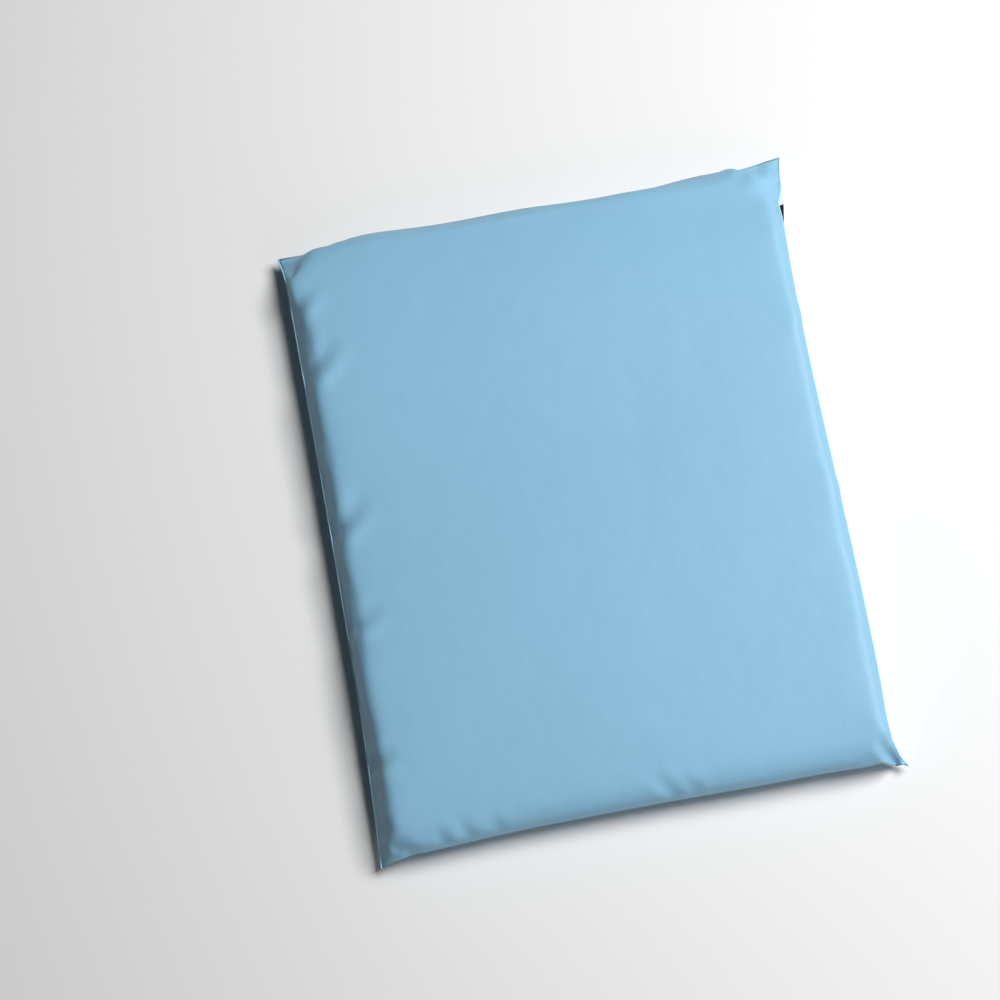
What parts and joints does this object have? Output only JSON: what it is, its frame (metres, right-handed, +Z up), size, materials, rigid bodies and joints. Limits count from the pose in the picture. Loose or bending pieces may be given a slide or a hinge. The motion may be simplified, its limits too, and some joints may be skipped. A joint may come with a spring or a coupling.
{
  "type": "poly mailer bag",
  "caption": "Filled, sealed poly mailer: a soft rectangular film pack with welded sides, a bottom fold and its flap folded over and glued on the back.",
  "frame": {"origin": "middle of the footprint, on the floor that the bag lies on", "axes": "+X across the bag from side weld to side weld, +Y towards the closing fold and its glued flap, +Z up through the printed front"},
  "size_m": [0.248, 0.302, 0.0248],
  "materials": {
    "poly_film": "satin light blue polyethylene film"
  },
  "bodies": {
    "root": {"sealed_mailer": "poly_film"}
  },
  "joints": []
}
